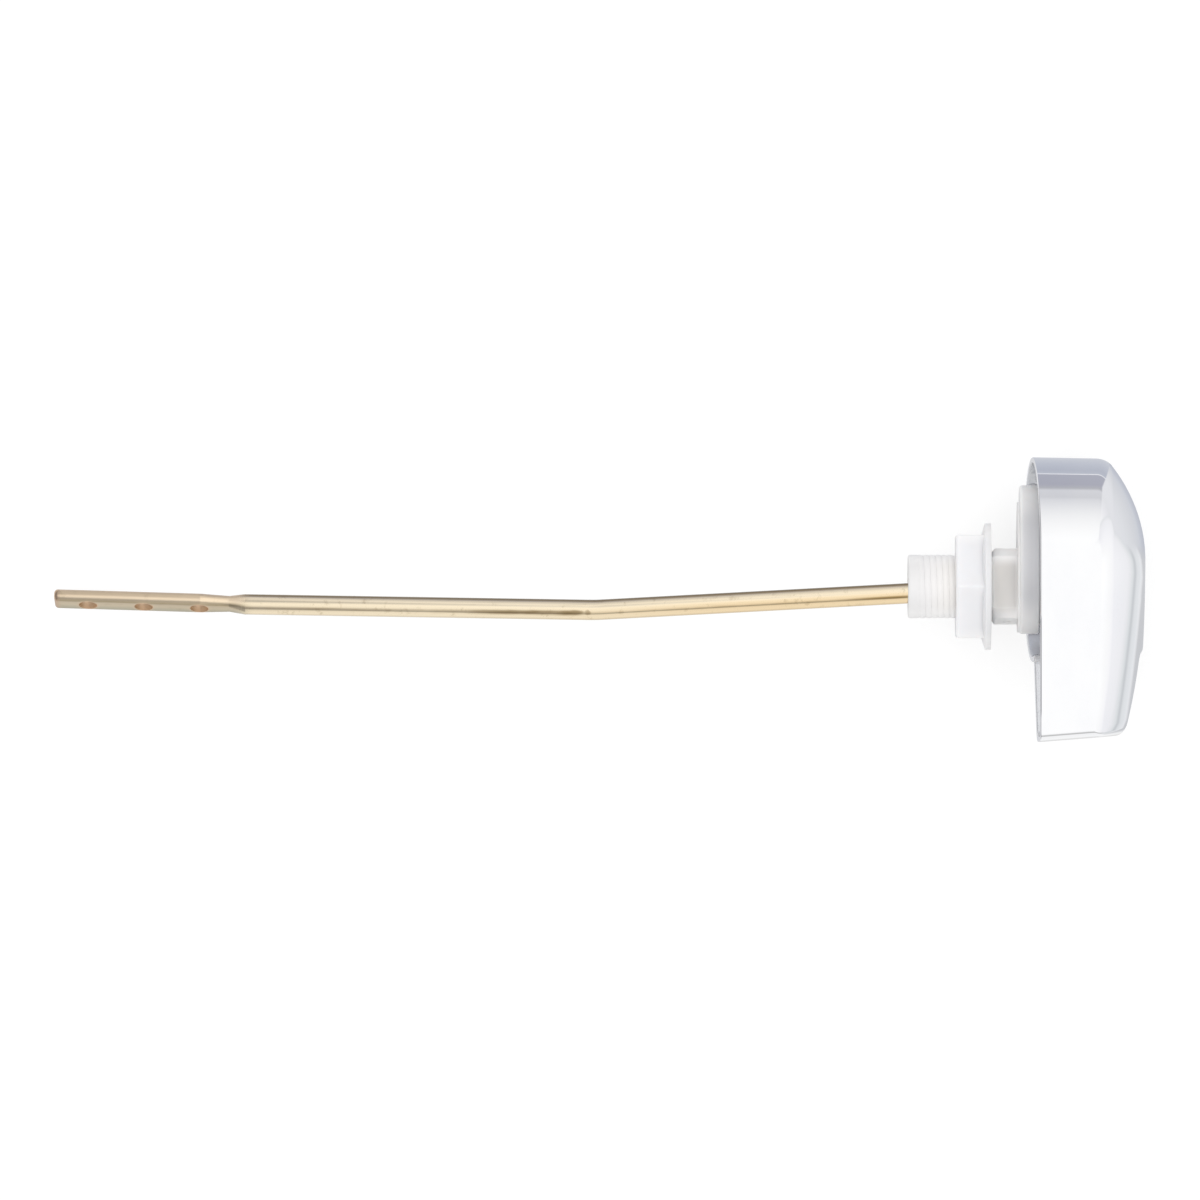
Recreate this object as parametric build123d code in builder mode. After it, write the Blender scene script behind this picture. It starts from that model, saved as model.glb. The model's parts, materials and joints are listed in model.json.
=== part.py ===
from build123d import *
import os
from math import atan, cos, degrees, radians, sin, sqrt, tan

# Cistern lever, in millimetres. The origin is on the spud's axis, at the face that seats on the
# cistern wall. +X points out through the handle, +Y away from the lever's beak and +Z up.

# Spud: threaded barrel, square shank, seat pad and round plate
barrel_dia = 15.0  # pitch diameter of a 16 mm fine thread
barrel_length = 20.4
barrel_chamfer = 0.7
shank_square = 17.2
shank_corner = 2.2
shank_length = 6.4
shank_lead = 0.9
shank_turn = -7.0
pad_radius = 16.0
pad_offset = 4.7
pad_height = 0.5
plate_radius = 18.2
plate_thickness = 4.5
plate_round = 0.9
pivot_offset = 6.6  # the handle's axis lies beside the spud's axis
bore_waist_radius = 3.2
bore_plate_radius = 3.6
bore_barrel_radius = 5.65

# Bearing drum, pivot boss and stop lug on the plate's front
drum_radius = 14.0
drum_wall = 1.8
drum_height = 7.0
boss_radius = 2.5
stop_angle = 250.0
stop_width = 12.0
stop_height = 2.6
stop_gap = 0.4

# Clearances
running_gap = 0.05
pin_gap = 0.02
axial_gap = 0.3
slot_gap = 0.4

# Lock nut
nut_sides = 6
nut_turn = 90.0
nut_flats = 25.3
nut_hex_height = 6.4
nut_flange_radius = 15.5
nut_flange_height = 2.2
nut_flange_cone = 0.8
nut_flange_slope = 2.4
nut_corner = 0.6
nut_edge = 0.8
nut_countersink = 0.9
wall_gap = 6.5

# Lift rod and its fulcrum
rod_dia = 5.0
rod_droop = 3.0
rod_yaw = 3.05
rod_kink = 3.97
rod_bend_radius = 45.0
rod_kink_reach = 101.1
rod_run = 86.0
rod_end_chamfer = 0.5
fulcrum_reach = 2.5
fulcrum_side = -0.37
fulcrum_dia = 2.0
fulcrum_inset = 0.35

# Pressed end of the rod
blade_yaw = 0.8
blade_width = 7.0
blade_thickness = 3.0
blade_turn = 23.0
blade_neck = 5.2
blade_press = 4.0
blade_spread = 7.0
blade_length = 47.0
blade_tip_round = 0.9
blade_edge_share = 0.97
hole_dia = 4.5
hole_count = 3
hole_spacing = 13.7
hole_margin = 8.3

# Handle carrier, screw and washer
skirt_wall = 1.8
web_thickness = 2.7
carrier_radius = 20.2
handle_travel = 22.0
washer_radius = 4.5
washer_thickness = 0.8
screw_dia = 2.9
screw_head_radius = 2.8
screw_head_height = 2.2
screw_length = 9.0
screw_recess = 3.2
screw_recess_width = 0.8
screw_recess_depth = 1.2

# Handle shell
shell_wall = 2.0
rim_reach = 3.6
rim_tilt = 3.6  # the rim's lower side stands nearer the cistern wall
round_radius = 25.1
round_draft = 1.1
beak_reach = 44.8
beak_draft = 4.6
beak_depth = 11.3
beak_slope = 22.0
beak_solid = 3.9
nose_radius = 2.2
crotch_radius = 3.0
cavity_nose_radius = 1.0
dome_apex = 31.4
dome_radius = 34.5
dome_ridge_radius = 400.0
dome_edge_round = 1.2
post_radius = 2.5
post_circle = 17.8
post_angles = (30.0, 150.0, 290.0)
peg_radius = 1.6

# Places worked out from the sizes above
plate_front = pad_height + plate_thickness
barrel_end = -shank_length - barrel_length
drum_front = plate_front + drum_height
web_back = drum_front + axial_gap
web_front = web_back + web_thickness
boss_front = web_front + axial_gap
fulcrum_x = -fulcrum_reach
nut_front = -wall_gap
nut_back = nut_front - nut_flange_height - nut_hex_height
pivot_axis = Axis((0, pivot_offset, 0), (1, 0, 0))

# The rod rests tilted about the fulcrum, and its inner end sits in the carrier's slot
slot_x = (web_back + web_front) / 2
slot_lever = slot_x - fulcrum_x
slot_side = pivot_offset - fulcrum_side - slot_lever * tan(radians(rod_yaw))
slot_rise = slot_lever * tan(radians(rod_droop))
slot_radius = sqrt(slot_side**2 + slot_rise**2)
slot_angle = 180 - degrees(atan(slot_rise / slot_side))
slot_run = slot_side / cos(radians(handle_travel)) - slot_side
rod_inner_reach = (web_front - axial_gap - fulcrum_x) / cos(radians(rod_yaw)) / cos(radians(rod_droop))


# Round stock between two places on the X axis, on an axis beside the spud's
def disc(start, end, radius, side=0.0, mode=Mode.ADD):
    with BuildSketch(Plane.YZ.offset(start)) as section:
        with Locations((side, 0)):
            Circle(radius)
    extrude(section.sketch, amount=end - start, mode=mode)


# Tube between two places on the X axis, round the handle's axis
def tube(start, end, outer, inner):
    with BuildSketch(Plane.YZ.offset(start)) as section:
        with Locations((pivot_offset, 0)):
            Circle(outer)
            Circle(inner, mode=Mode.SUBTRACT)
    extrude(section.sketch, amount=end - start)


# Block bent round the handle's axis, from one angle to another
def sector(start, end, outer, inner, first, last, mode):
    with BuildSketch(Plane.YZ.offset(start)) as section:
        with BuildLine():
            outer_arc = CenterArc((pivot_offset, 0), outer, first, last - first)
            inner_arc = CenterArc((pivot_offset, 0), inner, first, last - first)
            Line(outer_arc @ 0, inner_arc @ 0)
            Line(outer_arc @ 1, inner_arc @ 1)
        make_face()
    extrude(section.sketch, amount=end - start, mode=mode)


# Round edges of one radius, from the cistern side to the handle side
def rings(piece, radius):
    circles = piece.edges().filter_by(GeomType.CIRCLE)
    return circles.filter_by(lambda edge: abs(edge.radius - radius) < pin_gap).sort_by(Axis.X)


# Spud: the bore is an hourglass round the fulcrum, so that the rod can rock
with BuildPart() as spud:
    disc(barrel_end, 0, barrel_dia / 2)
    chamfer(spud.edges().group_by(Axis.X)[0], barrel_chamfer)
    with BuildSketch(Plane.YZ.offset(-shank_length)) as shank:
        Rectangle(shank_square, shank_square, rotation=shank_turn)
        chamfer(shank.vertices(), shank_corner)
    extrude(amount=shank_length)
    lead_edges = spud.edges().filter_by_position(Axis.X, -shank_length, -shank_length)
    chamfer(lead_edges.filter_by(GeomType.LINE), shank_lead)
    disc(0, pad_height, pad_radius, pad_offset)
    disc(pad_height, plate_front, plate_radius, pivot_offset)
    fillet(rings(spud, plate_radius), plate_round)
    tube(plate_front, drum_front, drum_radius, drum_radius - drum_wall)
    disc(plate_front, boss_front, boss_radius, pivot_offset)
    sector(
        plate_front, plate_front + stop_height, drum_radius + skirt_wall, drum_radius + axial_gap,
        stop_angle - stop_width / 2, stop_angle + stop_width / 2, Mode.ADD,
    )
    with BuildSketch(Plane.XY):
        with BuildLine():
            Polyline(
                (barrel_end, 0), (barrel_end, bore_barrel_radius), (fulcrum_x, bore_waist_radius),
                (plate_front, bore_plate_radius), (plate_front, 0), close=True,
            )
        make_face()
    revolve(axis=Axis.X, mode=Mode.SUBTRACT)
    with BuildSketch(Plane.XZ):
        with Locations((fulcrum_x, 0)):
            Circle(fulcrum_dia / 2 + pin_gap)
    extrude(amount=shank_square, both=True, mode=Mode.SUBTRACT)
    screw_hole_end = boss_front - screw_length
    disc(screw_hole_end, boss_front, screw_dia / 2 + running_gap, pivot_offset, Mode.SUBTRACT)

# Lock nut: a moulded hexagon with a flange that bears on the cistern wall
with BuildPart() as lock_nut:
    with BuildSketch(Plane.YZ.offset(nut_back)) as hexagon:
        RegularPolygon(nut_flats / 2, nut_sides, major_radius=False, rotation=nut_turn)
        fillet(hexagon.vertices(), nut_corner)
    extrude(amount=nut_hex_height + nut_flange_cone)
    fillet(lock_nut.edges().group_by(Axis.X)[0], nut_edge)
    flange_back = nut_front - nut_flange_height
    with BuildSketch(Plane.XY):
        with BuildLine():
            Polyline(
                (nut_front, 0), (nut_front, nut_flange_radius),
                (flange_back + nut_flange_cone, nut_flange_radius),
                (flange_back, nut_flange_radius - nut_flange_slope), (flange_back, 0), close=True,
            )
        make_face()
    revolve(axis=Axis.X)
    nut_bore_radius = barrel_dia / 2 + running_gap
    disc(nut_back, nut_front, nut_bore_radius, 0, Mode.SUBTRACT)
    chamfer(rings(lock_nut, nut_bore_radius), nut_countersink)

# Fulcrum pin, across the shank
with BuildPart() as fulcrum_pin:
    pin_length = shank_square / cos(radians(shank_turn)) - 2 * fulcrum_inset
    with BuildSketch(Plane.XZ):
        with Locations((fulcrum_x, 0)):
            Circle(fulcrum_dia / 2)
    extrude(amount=pin_length / 2, both=True)

# Lift rod: one bend in its own tilted plane, and a pressed blade with chain holes
rod_plane = Plane(
    origin=(fulcrum_x, fulcrum_side, 0),
    x_dir=(cos(radians(rod_droop)), 0, sin(radians(rod_droop))),
    z_dir=(-sin(radians(rod_droop)), 0, cos(radians(rod_droop))),
)


# Unit vector in the rod's plane, turned from its outward direction
def rod_direction(turn):
    outward = Vector(-cos(radians(turn)), sin(radians(turn)))
    return rod_plane.from_local_coords(outward) - rod_plane.origin


first_way = rod_direction(-rod_yaw)
second_way = rod_direction(rod_kink - rod_yaw)
blade_way = rod_direction(rod_kink - rod_yaw + blade_yaw)
blade_across = rod_plane.z_dir * cos(radians(blade_turn)) + Vector(0, 1, 0) * sin(radians(blade_turn))
rod_inner_end = rod_plane.origin - first_way * rod_inner_reach
rod_corner = rod_plane.origin + first_way * rod_kink_reach
blade_start = rod_corner + second_way * rod_run
neck_place = blade_start + blade_way * blade_press
full_place = neck_place + blade_way * blade_spread
blade_tip = blade_start + blade_way * blade_length


# Cross section of the pressed end, square to its length
def blade_section(place, way, width, thickness):
    with BuildSketch(Plane(origin=place, x_dir=blade_across, z_dir=way)) as section:
        RectangleRounded(width, thickness, thickness / 2 * blade_edge_share)
    return section.sketch


# Whether an edge lies on the end face of the pressed end
def on_tip(edge):
    return abs((edge.center() - blade_tip).dot(blade_way)) < pin_gap


blade_stations = [
    (blade_start, second_way, rod_dia, rod_dia),
    (neck_place, blade_way, blade_neck, blade_thickness),
    (full_place, blade_way, blade_width, blade_thickness),
    (blade_tip, blade_way, blade_width, blade_thickness),
]


with BuildPart() as lift_rod:
    with BuildLine() as rod_path:
        FilletPolyline(rod_inner_end, rod_corner, blade_start, radius=rod_bend_radius)
    with BuildSketch(Plane(origin=rod_inner_end, z_dir=first_way)):
        Circle(rod_dia / 2)
    sweep()
    chamfer(lift_rod.edges().sort_by(Axis.X)[-1], rod_end_chamfer)
    for station in range(len(blade_stations) - 1):
        loft([blade_section(*blade_stations[station]), blade_section(*blade_stations[station + 1])])
    fillet(lift_rod.edges().filter_by(on_tip), blade_tip_round)
    with BuildSketch(Plane(origin=blade_tip, x_dir=-blade_way, z_dir=blade_across.cross(blade_way))):
        for hole in range(hole_count):
            with Locations((hole_margin + hole * hole_spacing, 0)):
                Circle(hole_dia / 2)
    extrude(amount=blade_width, both=True, mode=Mode.SUBTRACT)
    with BuildSketch(Plane.XZ.offset(-fulcrum_side)):
        with Locations((fulcrum_x, 0)):
            Circle(fulcrum_dia / 2 + running_gap)
    extrude(amount=rod_dia, both=True, mode=Mode.SUBTRACT)

# Handle carrier: its skirt turns on the drum, and its slot drives the rod
with BuildPart() as handle_carrier:
    skirt_radius = drum_radius + running_gap
    tube(plate_front + axial_gap, web_front, skirt_radius + skirt_wall, skirt_radius)
    tube(web_back, web_front, carrier_radius, boss_radius + running_gap)
    notch_first = stop_angle - stop_width / 2 - handle_travel - stop_gap
    notch_last = stop_angle + stop_width / 2 + stop_gap
    notch_front = plate_front + stop_height + stop_gap
    sector(plate_front, notch_front, carrier_radius, drum_radius, notch_first, notch_last, Mode.SUBTRACT)
    with BuildSketch(Plane.YZ.offset(web_back)):
        with Locations((pivot_offset, 0)):
            with PolarLocations(slot_radius + slot_run / 2, 1, slot_angle):
                SlotOverall(rod_dia + 2 * slot_gap + slot_run, rod_dia + 2 * slot_gap)
            for angle in post_angles:
                with PolarLocations(post_circle, 1, angle):
                    Circle(peg_radius + pin_gap)
    extrude(amount=web_thickness, mode=Mode.SUBTRACT)

# Pivot washer and screw, on the end of the spud's boss
with BuildPart() as pivot_washer:
    tube(boss_front, boss_front + washer_thickness, washer_radius, screw_dia / 2 + running_gap)

with BuildPart() as pivot_screw:
    head_back = boss_front + washer_thickness
    head_front = head_back + screw_head_height
    disc(screw_hole_end + axial_gap, head_front, screw_dia / 2, pivot_offset)
    disc(head_back, head_front, screw_head_radius, pivot_offset)
    fillet(pivot_screw.edges().group_by(Axis.X)[-1], screw_recess_width)
    with BuildSketch(Plane.YZ.offset(head_front - screw_recess_depth)):
        with Locations((pivot_offset, 0)):
            Rectangle(screw_recess, screw_recess_width)
            Rectangle(screw_recess_width, screw_recess)
    extrude(amount=screw_recess_depth, mode=Mode.SUBTRACT)


# Height of the beak's slanted underside at a distance from the handle's axis
def beak_under(distance, inset):
    tip_height = round_radius - beak_depth + inset / cos(radians(beak_slope))
    return tip_height - (beak_reach - distance) * tan(radians(beak_slope))


# Plan of the handle: a round end with a straight-edged beak
def handle_plan(place, radius, reach, nose, inset):
    with BuildSketch(Plane.YZ.offset(place)) as plan:
        with Locations((pivot_offset, 0)):
            Circle(radius)
            Polygon(
                (0, 0), (0, radius), (-reach, radius), (-reach, beak_under(reach, inset)),
                (-radius / 2, beak_under(radius / 2, inset)), align=None,
            )
        fillet(plan.vertices().sort_by(Axis.X)[2], crotch_radius)
        fillet(plan.vertices().sort_by(Axis.X)[:2], nose)
    return plan.sketch


# Dome: a round cap over the handle's axis, carried on as a shallow barrel towards the beak
def dome(apex, radius):
    reach = (round_radius + radius) / 2
    edge = apex - radius + sqrt(radius**2 - reach**2)
    middle = Plane.XZ.offset(-pivot_offset)
    with BuildPart() as solid:
        with BuildSketch(middle):
            with BuildLine():
                ThreePointArc((edge, -reach), (apex, 0), (edge, reach))
                Polyline((edge, reach), (0, reach), (0, -reach), (edge, -reach))
            make_face()
        ridge_axis = Axis((apex - dome_ridge_radius, pivot_offset, 0), (0, 0, -1))
        revolve(axis=ridge_axis, revolution_arc=barrel_arc)
        with BuildSketch(middle):
            with BuildLine():
                cap_arc = RadiusArc((apex, 0), (edge, -reach), radius)
                Polyline(cap_arc @ 1, (0, -reach), (0, 0), (apex, 0))
            make_face()
        revolve(axis=pivot_axis, revolution_arc=180)
    return solid.part


# Handle between the rim and the dome, drawn in from the outside by an inset
def handle_form(inset, nose, tip_inset):
    front_rise = dome_apex - rim_low
    radius = round_radius - inset
    reach = beak_reach - tip_inset
    plans = [
        handle_plan(rim_low, radius, reach, nose, inset),
        handle_plan(
            dome_apex, radius - front_rise * tan(radians(round_draft)),
            reach - front_rise * tan(radians(beak_draft)), nose, inset,
        ),
    ]
    crown = dome(dome_apex - inset, dome_radius - inset)
    with BuildPart() as form:
        loft(plans, ruled=True)
        add(crown, mode=Mode.INTERSECT)
    return form.part


rim_low = rim_reach - round_radius * tan(radians(rim_tilt))
rim_plane = Plane((rim_reach, 0, 0), z_dir=(cos(radians(rim_tilt)), 0, -sin(radians(rim_tilt))))
barrel_arc = degrees((beak_reach + round_radius) / dome_ridge_radius)
outer_form = handle_form(0, nose_radius, 0)
cavity_form = handle_form(shell_wall, cavity_nose_radius, beak_solid)
post_crown = dome(dome_apex - shell_wall / 2, dome_radius - shell_wall / 2)

# Posts inside the handle: each has a shoulder on the carrier and a peg through it
with BuildPart() as posts:
    with BuildSketch(Plane.YZ.offset(web_front)):
        with Locations((pivot_offset, 0)):
            for angle in post_angles:
                with PolarLocations(post_circle, 1, angle):
                    Circle(post_radius)
    extrude(amount=dome_apex)
    add(post_crown, mode=Mode.INTERSECT)
    with BuildSketch(Plane.YZ.offset(web_back)):
        with Locations((pivot_offset, 0)):
            for angle in post_angles:
                with PolarLocations(post_circle, 1, angle):
                    Circle(peg_radius)
    extrude(amount=web_thickness)

# Handle shell: a hollow casting with a rounded front edge and a slanted rim
with BuildPart() as handle_shell:
    add(outer_form)
    behind_front = rim_reach + shell_wall
    front_edges = handle_shell.edges().filter_by(lambda edge: edge.bounding_box().min.X > behind_front)
    crease_edges = front_edges.filter_by(lambda edge: edge.bounding_box().size.Y > running_gap)
    fillet(crease_edges, dome_edge_round)
    add(cavity_form, mode=Mode.SUBTRACT)
    split(bisect_by=rim_plane, keep=Keep.TOP)
    add(posts.part)

# One file for each piece
os.makedirs("parts", exist_ok=True)
pieces = {
    "spud": spud,
    "lock_nut": lock_nut,
    "fulcrum_pin": fulcrum_pin,
    "lift_rod": lift_rod,
    "handle_carrier": handle_carrier,
    "pivot_washer": pivot_washer,
    "pivot_screw": pivot_screw,
    "handle_shell": handle_shell,
}
for node, piece in pieces.items():
    piece.part.label = node
    export_step(piece.part, f"parts/{node}.step")
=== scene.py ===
import json
from math import acos, atan2, cos, pi, radians, sin, sqrt, tan

import bmesh
import bpy
from mathutils import Matrix, Vector


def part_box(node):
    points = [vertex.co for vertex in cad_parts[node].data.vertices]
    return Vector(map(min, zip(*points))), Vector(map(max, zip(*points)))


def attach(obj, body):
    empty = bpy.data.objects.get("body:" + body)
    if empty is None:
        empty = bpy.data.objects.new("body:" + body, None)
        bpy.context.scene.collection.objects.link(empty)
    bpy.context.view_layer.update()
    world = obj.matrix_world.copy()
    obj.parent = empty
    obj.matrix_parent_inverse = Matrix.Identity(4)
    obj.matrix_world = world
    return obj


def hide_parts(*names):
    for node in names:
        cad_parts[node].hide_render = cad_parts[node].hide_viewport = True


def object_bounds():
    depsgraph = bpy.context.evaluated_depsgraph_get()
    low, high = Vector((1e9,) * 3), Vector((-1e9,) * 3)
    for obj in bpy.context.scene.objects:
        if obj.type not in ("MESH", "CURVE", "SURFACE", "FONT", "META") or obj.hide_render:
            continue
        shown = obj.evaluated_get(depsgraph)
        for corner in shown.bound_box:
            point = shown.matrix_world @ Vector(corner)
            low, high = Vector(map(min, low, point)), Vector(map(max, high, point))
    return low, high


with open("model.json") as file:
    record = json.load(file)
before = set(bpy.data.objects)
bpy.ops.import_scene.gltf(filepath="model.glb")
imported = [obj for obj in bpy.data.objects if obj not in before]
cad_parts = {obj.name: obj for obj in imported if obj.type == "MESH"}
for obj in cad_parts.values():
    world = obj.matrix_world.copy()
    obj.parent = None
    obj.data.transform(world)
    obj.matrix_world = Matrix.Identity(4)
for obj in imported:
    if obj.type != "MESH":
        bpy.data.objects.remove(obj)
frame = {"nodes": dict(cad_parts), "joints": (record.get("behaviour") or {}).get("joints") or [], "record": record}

scene = bpy.context.scene
scene.view_settings.view_transform = "Standard"
cadBox = [list(corner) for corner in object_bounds()]
nodes = frame["nodes"]
joints = {joint["name"]: joint for joint in frame["joints"]}
mounts = {mount["name"]: mount for mount in frame["record"]["mounts"]}
pivot = Vector(joints["handle_turn"]["pos_m"])
print("frame loaded:", len(nodes), "nodes")


class Wire:
    # a shader socket that takes part in plain sums
    def __init__(self, tree, socket=None):
        self.tree = tree
        self.socket = socket

    # any node: its settings are set first, then the values or links of its sockets
    def node(self, kind, settings=None, sockets=None, out=0):
        made = self.tree.nodes.new(kind)
        for name, value in (settings or {}).items():
            if name == "stops":
                ramp = made.color_ramp.elements
                while len(ramp) < len(value):
                    ramp.new(1.0)
                for stop, (spot, colour) in zip(ramp, value):
                    stop.position = spot
                    stop.color = (*colour, 1)
            else:
                setattr(made, name, value)
        for name, value in (sockets or {}).items():
            if isinstance(value, Wire):
                self.tree.links.new(value.socket, made.inputs[name])
            else:
                made.inputs[name].default_value = value
        return Wire(self.tree, made.outputs[out] if made.outputs else None)

    def sum(self, operation, first, second=0.0):
        return self.node("ShaderNodeMath", {"operation": operation}, {0: first, 1: second})

    def __add__(self, other):
        return self.sum("ADD", self, other)

    def __radd__(self, other):
        return self.sum("ADD", other, self)

    def __sub__(self, other):
        return self.sum("SUBTRACT", self, other)

    def __rsub__(self, other):
        return self.sum("SUBTRACT", other, self)

    def __mul__(self, other):
        return self.sum("MULTIPLY", self, other)

    def __rmul__(self, other):
        return self.sum("MULTIPLY", other, self)

    def __truediv__(self, other):
        return self.sum("DIVIDE", self, other)

    def __rtruediv__(self, other):
        return self.sum("DIVIDE", other, self)

    def __mod__(self, other):
        return self.sum("MODULO", self, other)

    def __rmod__(self, other):
        return self.sum("MODULO", other, self)

    def __abs__(self):
        return self.sum("ABSOLUTE", self)

    def root(self):
        return self.sum("SQRT", self)

    def most(self, other):
        return self.sum("MAXIMUM", self, other)

    def least(self, other):
        return self.sum("MINIMUM", self, other)

    # smooth 0 to 1 between two values
    def band(self, low, high):
        ends = {"Value": self, "From Min": low, "From Max": high}
        return self.node("ShaderNodeMapRange", {"interpolation_type": "SMOOTHSTEP"}, ends)

    # colour between two colours
    def blend(self, low, high):
        low = low if isinstance(low, Wire) else (*low, 1)
        high = high if isinstance(high, Wire) else (*high, 1)
        return self.node("ShaderNodeMix", {"data_type": "RGBA"}, {0: self, 6: low, 7: high}, 2)

    # colour from the stops of a ramp
    def ramp(self, stops):
        return self.node("ShaderNodeValToRGB", {"stops": stops}, {"Fac": self})

    # noise at a scale per metre, stretched along the axes
    def grain(self, scale, detail, rough, stretch=(1, 1, 1)):
        spread = self.node("ShaderNodeMapping", None, {"Vector": self, "Scale": stretch})
        return self.node("ShaderNodeTexNoise", None, {
            "Vector": spread, "Scale": scale, "Detail": detail, "Roughness": rough})

    # x, y or z of a vector
    def part(self, letter):
        return self.node("ShaderNodeSeparateXYZ", None, {0: self}, "XYZ".index(letter))

    def along(self, way):
        return self.node("ShaderNodeVectorMath", {"operation": "DOT_PRODUCT"}, {0: self, 1: way}, "Value")

    # bump from a height in metres
    def relief(self, strength):
        return self.node("ShaderNodeBump", None, {"Height": self, "Strength": strength, "Distance": 1.0})


def newFinish(name):
    material = bpy.data.materials.new(name)
    material.use_nodes = True
    shader = material.node_tree.nodes["Principled BSDF"]
    place = Wire(material.node_tree).node("ShaderNodeTexCoord", out="Object")
    return material, shader, place


def setFinish(shader, sockets):
    for name, value in sockets.items():
        if isinstance(value, Wire):
            value.tree.links.new(value.socket, shader.inputs[name])
        else:
            shader.inputs[name].default_value = value


# in every look, a grain is its scale, detail, roughness and stretch, and a band its start and end
chromeLook = {
    "clear": (0.935, 0.937, 0.945), "wiped": (0.90, 0.905, 0.925), "edge": (0.36, 0.365, 0.40),
    "rough": 0.025, "smearRough": 0.05, "hairRough": 0.03, "relief": 0.5,
    "smear": (45, 5, 0.6, (1, 0.6, 1)), "smearBand": (0.42, 0.72),  # wiped fingermarks
    "hair": (700, 2, 0.5, (1, 0.06, 0.06)), "hairBand": (0.55, 0.8),  # polishing marks
    "wave": (70, 1, 0.4), "waveDepth": 0.00002, "ripple": (260, 2, 0.5), "rippleDepth": 0.000003,
    "rimReach": 0.0036, "rimTilt": radians(3.6),  # the rim's plane
    # painted dark line beside the rim, a painted reflection, along the beak only
    "lineStart": (0.00004, 0.0001), "lineEnd": (0.00022, 0.00034),
    "lineLow": (-0.0325, -0.030), "lineHigh": (-0.0085, -0.0065),
}


def chromeFinish():
    look = chromeLook
    material, shader, place = newFinish("chromePlate")
    x, y, z = (place.part(letter) for letter in "XYZ")
    smear = place.grain(*look["smear"]).band(*look["smearBand"])
    hair = place.grain(*look["hair"]).band(*look["hairBand"])
    wave, ripple = place.grain(*look["wave"]), place.grain(*look["ripple"])
    height = wave * look["waveDepth"] + ripple * look["rippleDepth"]
    lead = x - (z * tan(look["rimTilt"]) + look["rimReach"])
    # painted reflection: a dark line beside the rim along the beak, put into the base colour
    paintedRimLine = lead.band(*look["lineStart"]) * (1 - lead.band(*look["lineEnd"]))
    paintedRimLine = paintedRimLine * (1 - y.band(*look["lineHigh"])) * y.band(*look["lineLow"])
    colour = smear.blend(look["clear"], look["wiped"])
    setFinish(shader, {
        "Base Color": paintedRimLine.blend(colour, look["edge"]),
        "Metallic": 1.0,
        "Roughness": smear * look["smearRough"] + hair * look["hairRough"] + look["rough"],
        "Normal": height.relief(look["relief"]),
    })
    return material


insideLook = {
    "light": (0.70, 0.712, 0.745), "dull": (0.64, 0.655, 0.695),
    "cloud": (120, 4, 0.6), "cloudBand": (0.35, 0.65),
    # painted light: the inside's colour is made brighter toward the beak
    "beak": (0.95, 0.955, 0.97), "beakBy": 0.6, "beakEnd": (-0.004, 0.012),  # brighter toward the beak
    "metal": 0.55, "rough": 0.04, "cloudRough": 0.15, "relief": 0.8,
    "pit": (1500, 2, 0.5), "pitDepth": 0.00002, "skin": (420, 3, 0.6), "skinDepth": 0.00015,
}


def insideFinish():
    look = insideLook
    material, shader, place = newFinish("castInside")
    cloud = place.grain(*look["cloud"])
    colour = cloud.band(*look["cloudBand"]).blend(look["light"], look["dull"])
    # painted light toward the beak
    paintedBeakLight = (1 - place.part("Y").band(*look["beakEnd"])) * look["beakBy"]
    height = place.grain(*look["pit"]) * look["pitDepth"] + place.grain(*look["skin"]) * look["skinDepth"]
    setFinish(shader, {
        "Base Color": paintedBeakLight.blend(colour, look["beak"]),
        "Metallic": look["metal"],
        "Roughness": cloud * look["cloudRough"] + look["rough"],
        "Normal": height.relief(look["relief"]),
    })
    return material


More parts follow.
